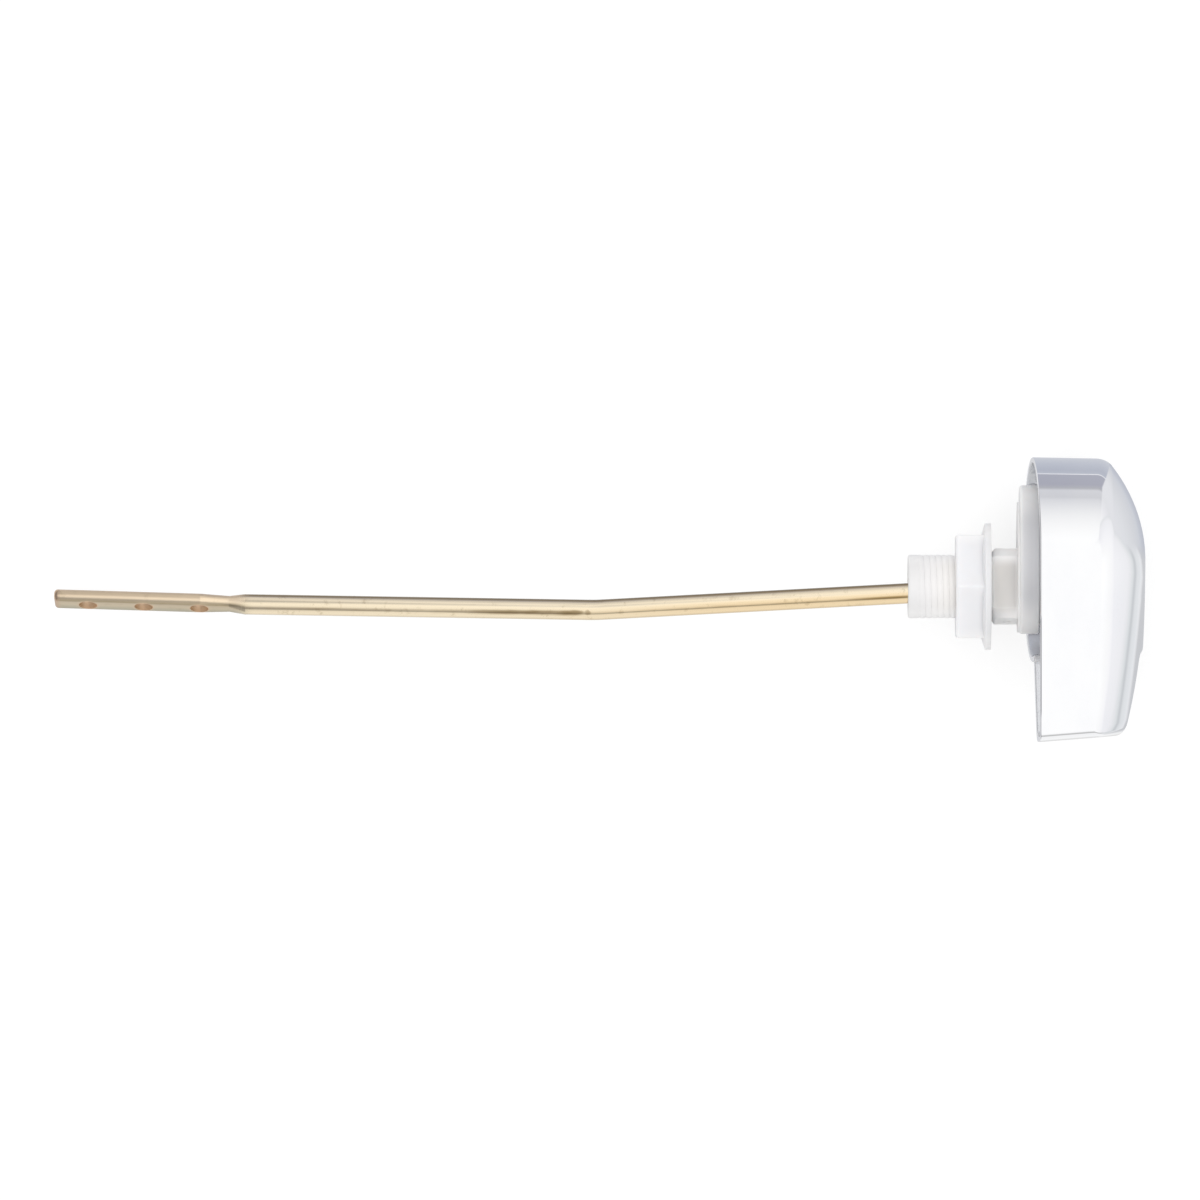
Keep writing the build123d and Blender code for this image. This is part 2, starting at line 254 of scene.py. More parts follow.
# moulded white plastic; a piece's tints run along X between two places, with painted shade and painted light in
# them
mouldLook = {
    "cloud": (75, 3, 0.55), "cloudBand": (0.3, 0.7), "shade": 0.965,
    "flow": (240, 3, 0.5, (0.25, 1, 1)), "flowDepth": 0.00002, "flowRough": 0.14,  # faint flow marks
    "orange": (2200, 2, 0.5), "orangeDepth": 0.000012, "rough": 0.27, "relief": 0.5, "index": 1.5,
    "soak": {"spud": 0.7, "thread": 0.0, "nut": 0.7, "carrier": 0.7}, "soakReach": (0.003, 0.0028, 0.0027),
    "tintFrom": -0.0268, "tintTo": 0.005,
    "tintsAndPaintedLight": {
        # spud: the barrel's tints are partly own colour, partly painted shade toward the nut; the darker stops on
        # the shank and plate are painted shade where the nut and handle shade them; the bright stops at 0.643 and
        # 0.842 are painted light on the shank's back chamfer and the plate's back edge
        "spud": [(0.0, (0.88, 0.88, 0.885)), (0.14, (0.885, 0.868, 0.865)), (0.30, (0.875, 0.858, 0.825)),
                 (0.5, (0.84, 0.83, 0.80)), (0.643, (0.97, 0.95, 0.925)), (0.67, (0.82, 0.80, 0.775)),
                 (0.72, (0.74, 0.72, 0.695)), (0.82, (0.69, 0.675, 0.66)), (0.842, (0.90, 0.89, 0.88)),
                 (0.88, (0.64, 0.64, 0.655)), (0.94, (0.645, 0.645, 0.665)), (1.0, (0.71, 0.71, 0.73))],
        "thread": [(0.0, (0.80, 0.795, 0.795)), (0.14, (0.84, 0.828, 0.828)), (0.30, (0.86, 0.84, 0.818)),
                   (0.5, (0.84, 0.825, 0.795))],
        # nut: darker toward its flange
        "nut": [(0.36, (0.855, 0.855, 0.875)), (0.54, (0.825, 0.825, 0.84)), (0.57, (0.785, 0.785, 0.80)),
                (0.64, (0.765, 0.765, 0.775))],
        "carrier": [(0.0, (0.85, 0.85, 0.86)), (1.0, (0.85, 0.85, 0.86))],
    },
    "lit": (0.95, 0.94, 0.935), "litBy": 0.85, "litBlur": 1e-4,
    # painted light toward the sides: stretches along X, their middle in Y, and how far from it the painted light
    # starts and is full
    "litEdges": {
        "spud": [(-0.0064, 0.0, 0.0, 0.0045, 0.0075), (0.0, 0.0055, pivot.y, 0.008, 0.017)],
        "thread": [(-0.0268, -0.0064, 0.0, 0.0045, 0.0076)],
        "nut": [(-0.0155, -0.0060, 0.0, 0.0095, 0.0145)],
        "carrier": [],
    },
}


def mouldFinish(name):
    look = mouldLook
    material, shader, place = newFinish(name + "Plastic")
    x, y = place.part("X"), place.part("Y")
    cloud, flow, orange = (place.grain(*look[grain]) for grain in ("cloud", "flow", "orange"))
    tintAndPaintedLight = ((x - look["tintFrom"]) / (look["tintTo"] - look["tintFrom"])).ramp(look["tintsAndPaintedLight"][name])
    blur = look["litBlur"]
    # painted light: the base colour is lightened toward the sides
    for start, end, middle, dull, clear in look["litEdges"][name]:
        lit = abs(y - middle).band(dull, clear) * look["litBy"]
        lit = lit * x.band(start - blur, start + blur) * (1 - x.band(end - blur, end + blur))
        tintAndPaintedLight = lit.blend(tintAndPaintedLight, look["lit"])
    shaded = tintAndPaintedLight.node("ShaderNodeVectorMath", {"operation": "SCALE"}, {0: tintAndPaintedLight, "Scale": look["shade"]})
    setFinish(shader, {
        "Base Color": cloud.band(*look["cloudBand"]).blend(tintAndPaintedLight, shaded),
        "Roughness": flow * look["flowRough"] + look["rough"],
        "Subsurface Weight": look["soak"][name],
        "Subsurface Radius": look["soakReach"],
        "Subsurface Scale": 1.0,
        "IOR": look["index"],
        "Normal": (orange * look["orangeDepth"] + flow * look["flowDepth"]).relief(look["relief"]),
    })
    return material


# brass; the rod's centre line in plan is the highest of three lines, each through a place and with a slope
brassLook = {
    "gold": (0.88, 0.70, 0.45), "pale": (0.89, 0.765, 0.56), "bright": (1.0, 0.87, 0.65),
    "tarnishAndShade": (0.30, 0.21, 0.10), "darkReflection": (0.46, 0.32, 0.14), "copper": (0.75, 0.56, 0.385),
    "tipShade": (0.60, 0.41, 0.28), "radius": 0.0025,
    "lines": [(-0.0025, -0.00037, 0.0533), (-0.1033, -0.00575, -0.0160), (-0.1891, -0.00438, -0.0300)],
    "cloud": (60, 4, 0.6), "cloudRough": 0.04, "rough": 0.05, "relief": 0.7,
    "streak": (1400, 3, 0.6, (0.02, 1, 1)), "streakBand": (0.58, 0.8), "streakBy": 0.2,  # drawing marks
    "streakRough": 0.06, "streakDepth": 0.000012,
    "fleck": (420, 4, 0.65), "fleckBand": (0.56, 0.72), "fleckBy": 0.25, "fleckDepth": 0.000006,
    "smudge": (260, 3, 0.6, (0.25, 1, 1)),
    "golden": (-0.13, -0.06),  # the stretch by the spud is the yellower
    # bands across go from -1 at the rod's lower side to 1 at its upper side
    # crown is a painted highlight along the rod's upper side; edge is a painted dark reflection along its upper
    # edge
    "crownStart": (-0.1, 0.3), "crownEnd": (0.68, 0.8), "crownBy": 0.9, "edge": (0.74, 0.86), "paintedEdgeShadeBy": 0.88,
    # painted dark reflection line along the rod: its place across, and its depth by smudges, by the barrel and all
    # along
    "reflectionLineAt": -0.33, "reflectionLineHalf": (0.03, 0.24), "reflectionLineSmudge": (0.3, 0.7), "reflectionLineBarrel": (-0.05, -0.032),
    "reflectionLineBy": (0.35, 0.6, 0.1),
    # dark streak up to the kink, its depth by smudges and all along
    "darkRunStart": (-0.146, -0.118), "darkRunEnd": (-0.1085, -0.1055), "darkRunHalf": (-0.08, 0.2),
    "darkRunWander": 0.3, "darkRunSmudge": (0.35, 0.65), "darkRunBy": (0.3, 0.62),
    # darker blots by the kink: middle on X, half length, mottling, band and depth
    "darkBlots": [(-0.1090, 0.0034, 2.4, (0.1, 1.0), 0.85), (-0.1052, 0.0011, 2.0, (0.1, 0.9), 0.6)],
    "blotAt": -0.29, "blotHalf": 0.34,
    # the pressed end is satin; its ramp is painted light and shade: a painted highlight along its upper side, a
    # painted dark line below the middle and darker edges
    "pressEnd": (-0.1925, -0.187), "pressRough": 0.24, "pressWander": 0.08, "pressFlecks": 0.6,
    "pressed": [(0.0, (0.46, 0.43, 0.33)), (0.12, (0.52, 0.47, 0.35)), (0.25, (0.66, 0.56, 0.40)),
                (0.35, (0.62, 0.52, 0.37)), (0.41, (0.42, 0.34, 0.22)), (0.47, (0.58, 0.48, 0.33)),
                (0.6, (1.0, 0.83, 0.61)), (0.72, (1.0, 0.81, 0.58)), (0.84, (0.90, 0.72, 0.50)),
                (1.0, (0.74, 0.59, 0.42))],
    # chain holes: bands of the distance from their axes, and the wall that is in shade
    "holesEnd": (-0.196, -0.194), "holeWall": (0.00228, 0.00245), "holeDull": 0.4,
    "halo": (0.0023, 0.0034), "haloBy": 0.25, "farWall": (-0.0022, -0.0008), "farWallBy": 0.4,
    # the rounded tip is darkened with painted shade
    "tipEnd": (-0.2360, -0.2342), "tipShadeBy": 0.75,
}


# distance from the nearest chain hole's axis, and its part along the row of holes
def fromHoles(place):
    first, second, last = (Vector(mounts["chain_hole_" + number]["pos_m"]) for number in "123")
    bore = Vector(mounts["chain_hole_1"]["axis"])
    way = (last - first).normalized()
    beside = way.cross(bore).normalized()
    pitch = (second - first).length
    run = place.along(tuple(way)) - (first.dot(way) - pitch / 2)
    step = run % pitch - pitch / 2
    side = place.along(tuple(beside)) - first.dot(beside)
    return (step * step + side * side).root(), step


def brassFinish():
    look = brassLook
    material, shader, place = newFinish("drawnBrass")
    x, y = place.part("X"), place.part("Y")
    grains = ("cloud", "streak", "fleck", "smudge")
    cloud, streak, fleck, smudge = (place.grain(*look[grain]) for grain in grains)
    lines = [(x - startX) * slope + startY for startX, startY, slope in look["lines"]]
    centre = lines[0].most(lines[1]).most(lines[2])
    across = (y - centre) / look["radius"]
    colour = x.band(*look["golden"]).blend(look["pale"], look["gold"])
    # painted highlight along the rod's upper side
    paintedCrownHighlight = across.band(*look["crownStart"]) * (1 - across.band(*look["crownEnd"])) * look["crownBy"]
    colour = paintedCrownHighlight.blend(colour, look["bright"])
    flecks = fleck.band(*look["fleckBand"]) * look["fleckBy"]
    flecks = flecks + streak.band(*look["streakBand"]) * look["streakBy"]
    colour = flecks.blend(colour, look["tarnishAndShade"])
    # painted reflection: a dark line along the rod
    offReflectionLine = abs(across - look["reflectionLineAt"])
    bySmudge, byBarrel, least = look["reflectionLineBy"]
    darkReflection = smudge.band(*look["reflectionLineSmudge"]) * bySmudge + x.band(*look["reflectionLineBarrel"]) * byBarrel + least
    reflectionLine = (1 - offReflectionLine.band(*look["reflectionLineHalf"])) * darkReflection
    colour = reflectionLine.blend(colour, look["darkReflection"])
    # darker streak up to the kink and darker blots by it
    smear = x.band(*look["darkRunStart"]) * (1 - x.band(*look["darkRunEnd"]))
    bySmudge, least = look["darkRunBy"]
    darkening = smear * (1 - (offReflectionLine - smudge * look["darkRunWander"]).band(*look["darkRunHalf"]))
    darkening = darkening * (smudge.band(*look["darkRunSmudge"]) * bySmudge + least)
    aside = (across - look["blotAt"]) / look["blotHalf"]
    for (middle, half, mottle, spread, depth), noise in zip(look["darkBlots"], (smudge, fleck)):
        ahead = (x - middle) / half
        blot = ahead * ahead + aside * aside + (noise - 0.5) * mottle
        darkening = darkening.most((1 - blot.band(*spread)) * depth)
    # painted dark reflection along the rod's upper edge, with the darker streak and blots by the kink
    edge = across.band(*look["edge"]) * look["paintedEdgeShadeBy"]
    colour = edge.most(darkening).blend(colour, look["tarnishAndShade"])
    # painted light and shade on the pressed end, with tarnish flecks over them
    pressed = 1 - x.band(*look["pressEnd"])
    lay = across * 0.5 + 0.5 + smudge * look["pressWander"] - look["pressWander"] / 2
    pressedLightAndFlecks = (flecks * look["pressFlecks"]).blend(lay.ramp(look["pressed"]), look["tarnishAndShade"])
    colour = pressed.blend(colour, pressedLightAndFlecks)
    reach, step = fromHoles(place)
    byHoles = 1 - x.band(*look["holesEnd"])
    inHole = (1 - reach.band(*look["holeWall"])) * byHoles
    halo = (1 - reach.band(*look["halo"])) * byHoles * look["haloBy"]
    colour = inHole.most(halo).blend(colour, look["copper"])
    shaded = inHole * (1 - step.band(*look["farWall"])) * look["farWallBy"]
    colour = shaded.blend(colour, look["tarnishAndShade"])
    # painted shade on the rounded tip
    tipShading = (1 - x.band(*look["tipEnd"])) * look["tipShadeBy"]
    rough = pressed * look["pressRough"] + streak * look["streakRough"] + cloud * look["cloudRough"]
    setFinish(shader, {
        "Base Color": tipShading.blend(colour, look["tipShade"]),
        "Metallic": 1 - inHole * look["holeDull"],
        "Roughness": rough + look["rough"],
        "Normal": (streak * look["streakDepth"] + fleck * look["fleckDepth"]).relief(look["relief"]),
    })
    return material


steelLook = {
    "bright": (0.62, 0.62, 0.63), "dark": (0.46, 0.46, 0.47), "cloud": (500, 3, 0.6), "cloudBand": (0.3, 0.7),
    "turned": (2600, 2, 0.5, (1, 0.15, 0.15)), "turnedRough": 0.2, "turnedDepth": 0.00001,
    "rough": 0.2, "relief": 0.6,
}


def steelFinish():
    look = steelLook
    material, shader, place = newFinish("turnedSteel")
    turned = place.grain(*look["turned"])
    cloud = place.grain(*look["cloud"])
    setFinish(shader, {
        "Base Color": cloud.band(*look["cloudBand"]).blend(look["bright"], look["dark"]),
        "Metallic": 1.0,
        "Roughness": turned * look["turnedRough"] + look["rough"],
        "Normal": (turned * look["turnedDepth"]).relief(look["relief"]),
    })
    return material


chrome = chromeFinish()
castInside = insideFinish()
plastics = {name: mouldFinish(name) for name in mouldLook["tintsAndPaintedLight"]}
brass = brassFinish()
steel = steelFinish()
print("finishes made")

# lengths below which points count as one or as on a plane
closeness = {"seam": 1e-7, "slack": 1e-6, "weld": 2e-6, "touch": 1e-5, "onRim": 1e-4, "byRim": 3e-4}


# a finished bmesh becomes an object of the scene
def placeMesh(bm, name, materials):
    mesh = bpy.data.meshes.new(name)
    bm.to_mesh(mesh)
    bm.free()
    for material in materials:
        mesh.materials.append(material)
    placed = bpy.data.objects.new(name, mesh)
    scene.collection.objects.link(placed)
    return placed


# a piece rides on a body and may stand for a node; edges above the sharp angle stay sharp
def addPiece(bm, name, materials, body, node=None, sharp=40):
    for face in bm.faces:
        face.smooth = True
    for edge in bm.edges:
        edge.smooth = len(edge.link_faces) != 2 or edge.calc_face_angle(0.0) < radians(sharp)
    piece = placeMesh(bm, name, materials)
    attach(piece, body)
    if node:
        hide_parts(node)
    print(name, len(piece.data.polygons), "faces")
    return piece


# merged copy of a node's mesh, its flat faces made whole
def nodeCopy(node, flat=0.4):
    bm = bmesh.new()
    bm.from_mesh(nodes[node].data)
    bmesh.ops.remove_doubles(bm, verts=bm.verts, dist=closeness["weld"])
    bmesh.ops.dissolve_limit(bm, angle_limit=radians(flat), verts=bm.verts, edges=bm.edges)
    return bm


# moulded edges, and shading that keeps the flats flat
def softEdges(piece, shape):
    rounding = piece.modifiers.new("mouldedEdges", "BEVEL")
    rounding.width = shape["edge"]
    rounding.segments = 3
    rounding.limit_method = "ANGLE"
    rounding.angle_limit = radians(shape["edgeAngle"])
    evened = piece.modifiers.new("evenShading", "WEIGHTED_NORMAL")
    evened.weight = 50
    evened.keep_sharp = False


handleShape = {
    "roundRadius": 0.0251, "roundDraft": radians(1.1), "beakReach": 0.0448, "beakDraft": radians(4.6),
    "beakDepth": 0.0113, "beakSlope": radians(22), "noseRadius": 0.0022, "chinRadius": 0.004,
    "crotchRadius": 0.003,
    # points along the outline, from its top round by the beak
    "topSteps": 24, "noseSteps": 14, "tipSteps": 6, "chinSteps": 12, "underSteps": 16, "crotchSteps": 8,
    "roundSteps": 96,
    "rimRound": 0.0003, "rimCorner": radians(60), "rimLeads": (0.00045, 0.0008),
    "wall": 0.002, "rimWall": 0.0013, "wallRun": 0.006,  # the wall thins toward the rim
    "domeApex": 0.0314, "domeRadius": 0.0345, "ridgeRadius": 0.4, "fullness": 0.0005, "fullAt": 0.022,
    # rounded front edge: its radius, and the most room it takes, less by the beak's nose
    "edgeRound": 0.0055, "edgeRoom": 0.0032, "noseRoom": 0.57, "roomGrowth": 0.1,
    "pole": Vector((-0.010, 0.012)), "wallRows": 9, "roundRows": 8, "domeRows": 20, "settleTurns": 8,
    # posts that carry the shell on its carrier, and the pegs at their ends
    "postRadius": 0.0025, "pegRadius": 0.0016, "postCircle": 0.0178, "postAngles": (30, 150, 290),
    "postBack": 0.015, "pegBack": 0.0123, "postSink": 0.0004, "postSides": 24,
    "sharp": 50,
}


# place on X of the rim's tilted plane at a height
def rimAt(height):
    return chromeLook["rimReach"] + tan(chromeLook["rimTilt"]) * height


rimLow = rimAt(-handleShape["roundRadius"])


# points on an arc, without its last one
def swing(centre, radius, first, last, count):
    turns = [first + (last - first) * step / count for step in range(count)]
    return [centre + radius * Vector((cos(turn), sin(turn))) for turn in turns]


# points on a straight line, without its last one
def stretch(first, last, count):
    return [first.lerp(last, step / count) for step in range(count)]


# handle's outline at a place on X, as offsets in Y and Z from its axis
def handleOutline(place):
    shape = handleShape
    rise = place - rimLow
    radius = shape["roundRadius"] - rise * tan(shape["roundDraft"])
    drawn = rise * tan(shape["beakDraft"])
    reach = shape["beakReach"] - drawn
    slope, nose, crotch = shape["beakSlope"], shape["noseRadius"], shape["crotchRadius"]
    jaw = shape["chinRadius"]
    chin = Vector((-reach, shape["roundRadius"] - shape["beakDepth"] - drawn * tan(slope)))
    noseTop = Vector((nose - reach, radius - nose))
    noseTurn = pi / 2 - slope
    noseLow = chin + Vector((jaw, jaw * tan(noseTurn / 2)))
    heading = Vector((cos(slope), -sin(slope)))
    outward = Vector((-sin(slope), -cos(slope)))
    start = chin + outward * crotch
    ahead = start.dot(heading)
    hollow = start + heading * (-ahead - sqrt(ahead**2 - start.length_squared + (radius + crotch) ** 2))
    meet = atan2(hollow.y, hollow.x)
    tipEnd = Vector((-reach, noseTop.y))
    underEnd = noseLow + Vector((cos(pi + noseTurn), sin(pi + noseTurn))) * jaw
    inner = swing(hollow, crotch, pi / 2 - slope, meet - pi, shape["crotchSteps"])
    points = stretch(Vector((0, radius)), Vector((noseTop.x, radius)), shape["topSteps"])
    points += swing(noseTop, nose, pi / 2, pi, shape["noseSteps"])
    points += stretch(tipEnd, Vector((-reach, noseLow.y)), shape["tipSteps"])
    points += swing(noseLow, jaw, pi, pi + noseTurn, shape["chinSteps"])
    points += stretch(underEnd, inner[0], shape["underSteps"])
    points += inner + swing(Vector((0, 0)), radius, meet, pi / 2 + 2 * pi, shape["roundSteps"])
    return points, noseTop


# dome's place on X over an offset from the handle's axis; it runs out into a ridge along the beak
def domeRise(offset):
    radius, ridge, apex = handleShape["domeRadius"], handleShape["ridgeRadius"], handleShape["domeApex"]
    away = offset.length if offset.x >= 0 else abs(offset.y)
    cap = radius - sqrt(radius**2 - away**2) - handleShape["fullness"] * (away / handleShape["fullAt"]) ** 4
    if offset.x >= 0:
        return apex - cap
    return apex - ridge + sqrt((ridge - cap) ** 2 - offset.x**2)


# one column of the handle's skin, from the rim over the rounded front edge to the dome's pole
def handleColumn(low, high, inward, room):
    shape = handleShape

    def at(place):
        return low.lerp(high, (place - rimLow) / (shape["domeApex"] - rimLow))

    def lift(place, offset):
        return Vector((place, offset.x, offset.y))

    rim, crease = rimAt(0), shape["domeApex"]
    for turn in range(shape["settleTurns"]):
        rim = rimAt(at(rim).y)
        crease = domeRise(at(crease))
    base, corner = lift(rim, at(rim)), lift(crease, at(crease))
    upward = (corner - base).normalized()
    beside = at(crease) + inward * closeness["touch"]
    over = (lift(domeRise(beside), beside) - corner).normalized()
    turnBy = acos(upward.dot(over))
    length = min(shape["edgeRound"] * tan(turnBy / 2), room)
    edgeRound = length / tan(turnBy / 2)
    square = (over - upward * upward.dot(over)).normalized()
    wallEnd = corner - upward * length
    centre = wallEnd + square * edgeRound
    rows = [base] + [base + upward * lead for lead in shape["rimLeads"]]
    rows += [rows[-1].lerp(wallEnd, row / shape["wallRows"]) for row in range(1, shape["wallRows"])]
    for row in range(shape["roundRows"]):
        turn = turnBy * row / shape["roundRows"]
        rows.append(centre + (upward * sin(turn) - square * cos(turn)) * edgeRound)
    edge = corner + over * length
    for row in range(shape["domeRows"] + 1):
        offset = Vector((edge.y, edge.z)).lerp(shape["pole"], row / shape["domeRows"])
        rows.append(lift(domeRise(offset), offset))
    return rows


# outer skin: a grid laid over the columns, one for each point of the outline
def handleSkin(bm):
    shape = handleShape
    low = handleOutline(rimLow)[0]
    high, noseTop = handleOutline(shape["domeApex"])
    count = len(low)
    columns = []
    for index in range(count):
        run = high[(index + 1) % count] - high[index - 1]
        inward = Vector((-run.y, run.x)).normalized()
        fromNose = max(0, (high[index] - noseTop).length - shape["noseRadius"])
        room = shape["noseRoom"] * shape["noseRadius"] + shape["roomGrowth"] * fromNose
        columns.append(handleColumn(low[index], high[index], inward, min(shape["edgeRoom"], room)))
    columns.append(columns[0])
    rows = len(columns[0])
    bmesh.ops.create_grid(bm, x_segments=count, y_segments=rows - 1, size=0.5)
    for vert in bm.verts:
        column = round((vert.co.x + 0.5) * count)
        row = round((vert.co.y + 0.5) * (rows - 1))
        vert.co = columns[column][row] + Vector((0, pivot.y, 0))
    bmesh.ops.remove_doubles(bm, verts=bm.verts, dist=closeness["seam"])
    bmesh.ops.recalc_face_normals(bm, faces=bm.faces)


# lining inside the skin, joined to it by the rim, which is rounded
def lineHandle(bm):
    shape = handleShape
    outside = set(bm.faces)
    rimLoop = [edge for edge in bm.edges if edge.is_boundary]
    bm.normal_update()
    skin = bm.verts[:]
    lining = bmesh.ops.duplicate(bm, geom=skin + bm.edges[:] + bm.faces[:])
    for vert in skin:
        thick = min(1, (vert.co.x - rimAt(vert.co.z)) / shape["wallRun"])
        wall = shape["rimWall"] + (shape["wall"] - shape["rimWall"]) * thick
        lining["vert_map"][vert].co = vert.co - vert.normal * wall
    insideFaces = [item for item in lining["geom"] if isinstance(item, bmesh.types.BMFace)]
    insideEdges = [item for item in lining["geom"] if isinstance(item, bmesh.types.BMEdge)]
    insideLoop = [edge for edge in insideEdges if edge.is_boundary]
    for edge in insideLoop:
        for vert in edge.verts:
            vert.co.x = rimAt(vert.co.z)
    bmesh.ops.reverse_faces(bm, faces=insideFaces)
    bmesh.ops.bridge_loops(bm, edges=rimLoop + insideLoop)
    bmesh.ops.recalc_face_normals(bm, faces=bm.faces)

    def nearRim(spot, near):
        return abs(spot.x - rimAt(spot.z)) < closeness[near]

    for face in bm.faces:
        plated = face in outside or nearRim(face.calc_center_median(), "onRim")
        face.material_index = 0 if plated else 1
    rimEdges = [edge for edge in bm.edges if edge.calc_face_angle(0.0) > shape["rimCorner"]
                and all(nearRim(vert.co, "byRim") for vert in edge.verts)]
    bmesh.ops.bevel(bm, geom=rimEdges, offset=shape["rimRound"], offset_type="OFFSET", segments=3,
                    profile=0.5, affect="EDGES", material=-1, clamp_overlap=True)


def addPosts(bm):
    shape = handleShape
    for angle in shape["postAngles"]:
        ray = Vector((cos(radians(angle)), sin(radians(angle))))
        spot = ray * shape["postCircle"]
        postEnd = domeRise(ray * (shape["postCircle"] + shape["postRadius"])) - shape["postSink"]
        pegEnd = shape["postBack"] + shape["postSink"]
        for radius, back, front in ((shape["postRadius"], shape["postBack"], postEnd),
                                    (shape["pegRadius"], shape["pegBack"], pegEnd)):
            middle = Vector(((back + front) / 2, pivot.y + spot.x, spot.y))
            lay = Matrix.Translation(middle) @ Matrix.Rotation(pi / 2, 4, "Y")
            post = bmesh.ops.create_cone(bm, cap_ends=True, segments=shape["postSides"], radius1=radius,
                                         radius2=radius, depth=front - back, matrix=lay)
            for vert in post["verts"]:
                for face in vert.link_faces:
                    face.material_index = 1


def makeHandle():
    bm = bmesh.new()
    handleSkin(bm)
    lineHandle(bm)
    addPosts(bm)
    addPiece(bm, "handleCasting", [chrome, castInside], "handle", "handle_shell",
             handleShape["sharp"])


makeHandle()

spudShape = {
    "edge": 0.00025, "edgeAngle": 35,
    "shankBack": -0.0064, "shankHalf": 0.0086, "shankLead": 0.0009, "shankTurn": radians(-7),
    "plateFront": 0.005, "plateRadius": 0.0182, "plateRound": 0.0009, "plateEdge": 0.0003, "plateLip": 0.0002,
}
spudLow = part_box("spud")[0]


def makeSpud():
    shape = spudShape
    bm = nodeCopy("spud")
    turn = Matrix.Rotation(shape["shankTurn"], 3, "X")
    touch, slack = closeness["touch"], closeness["slack"]
    for vert in bm.verts:  # the shank's end is led in at its two sides only
        spot = turn.inverted() @ vert.co
        atBack = abs(spot.x - shape["shankBack"]) < touch
        if atBack and abs(spot.z) > shape["shankHalf"] - shape["shankLead"] - touch:
            spot.z = (shape["shankHalf"] - touch) * (1 if spot.z > 0 else -1)
            vert.co = turn @ spot
    tight = shape["plateEdge"] / shape["plateRound"]
    for vert in bm.verts:  # the plate's front edge is moulded tighter than the one on the wall's side
        out = Vector((vert.co.y - pivot.y, vert.co.z))
        over = vert.co.x - (shape["plateFront"] - shape["plateRound"])
        past = out.length - (shape["plateRadius"] - shape["plateRound"])
        if 0 < over <= shape["plateRound"] + slack and past > -slack:
            vert.co.x = shape["plateFront"] + shape["plateLip"] - (shape["plateRound"] - over) * tight
            out *= (shape["plateRadius"] - (shape["plateRound"] - past) * tight) / out.length
            vert.co.y, vert.co.z = out.x + pivot.y, out.y
    piece = addPiece(bm, "spudMoulding", [plastics["spud"]], "fixed", "spud")
    softEdges(piece, shape)


# low moulded thread and the plain collar at its end
threadShape = {
    "pitch": 0.0015, "steps": 64, "collarSteps": 96, "start": 0.0018, "fade": 0.0015, "under": 0.00746,
    "sharp": 60,
    # profiles in millimetres, along X and out from the axis
    "ridge": [(-0.745, 7.46), (-0.735, 7.6), (-0.5, 7.66), (-0.25, 7.75), (-0.08, 7.78),
              (0.08, 7.78), (0.25, 7.75), (0.5, 7.66), (0.735, 7.6), (0.745, 7.46)],
    "collar": [(0.01, 6.7), (0.01, 7.2), (0.06, 7.42), (0.2, 7.62), (0.4, 7.73), (0.65, 7.78),
               (2.3, 7.78), (2.5, 7.74), (2.75, 7.66), (2.9, 7.6), (2.9, 7.3)],
}


# closed loop of a profile in the plane of X and Z
def profileLoop(bm, origin, profile):
    ring = [bm.verts.new((origin + along / 1000, 0, out / 1000)) for along, out in profile]
    return ring + [bm.edges.new((ring[index - 1], ring[index])) for index in range(len(ring))]


def makeThread():
    shape = threadShape
    bm = bmesh.new()
    first, last = spudLow.x + shape["start"], spudShape["shankBack"]
    turns = (last - first) / shape["pitch"]
    steps = round(turns * shape["steps"])
    bmesh.ops.spin(bm, geom=profileLoop(bm, first, shape["ridge"]), cent=(0, 0, 0), axis=(1, 0, 0),
                   angle=2 * pi * turns, dvec=((last - first) / steps, 0, 0), steps=steps)
    for vert in bm.verts:  # the ridge runs out by the shank
        radius = sqrt(vert.co.y**2 + vert.co.z**2)
        full = min(1, max(0, (last - vert.co.x) / shape["fade"]))
        lowered = shape["under"] + (radius - shape["under"]) * full
        vert.co.y *= lowered / radius
        vert.co.z *= lowered / radius
    bmesh.ops.holes_fill(bm, edges=[edge for edge in bm.edges if edge.is_boundary])
    bmesh.ops.spin(bm, geom=profileLoop(bm, spudLow.x, shape["collar"]), cent=(0, 0, 0), axis=(1, 0, 0),
                   angle=2 * pi, steps=shape["collarSteps"], use_merge=True)
    bmesh.ops.remove_doubles(bm, verts=bm.verts, dist=closeness["seam"])
    bmesh.ops.recalc_face_normals(bm, faces=bm.faces)
    addPiece(bm, "barrelThread", [plastics["thread"]], "fixed", sharp=shape["sharp"])


makeSpud()
makeThread()

nutShape = {"edge": 0.00035, "edgeAngle": 32}


def makeNut():
    bm = nodeCopy("lock_nut")
    piece = addPiece(bm, "lockNutMoulding", [plastics["nut"]], "nut", "lock_nut")
    softEdges(piece, nutShape)


makeNut()

for node, material in (("lift_rod", brass), ("handle_carrier", plastics["carrier"]), ("fulcrum_pin", steel),
                       ("pivot_screw", steel), ("pivot_washer", steel)):
    nodes[node].data.materials.clear()
    nodes[node].data.materials.append(material)
print("nodes finished")

stageLook = {
    "floorDrop": 0.0003, "floorHalf": 6.0, "floorColour": (0.85, 0.85, 0.85, 1),
    "floorShown": (0.34, 0.34, 0.34, 1), "floorGlow": 0.7, "worldFill": 0.78,
    "lampSize": 1.5, "lampPower": 9.0, "lampPlace": (-0.1, 0.1, 1.4),
}


# a material with no nodes, and a start for them
def bareFinish(name):
    material = bpy.data.materials.new(name)
    material.use_nodes = True
    material.node_tree.nodes.clear()
    return material, Wire(material.node_tree)


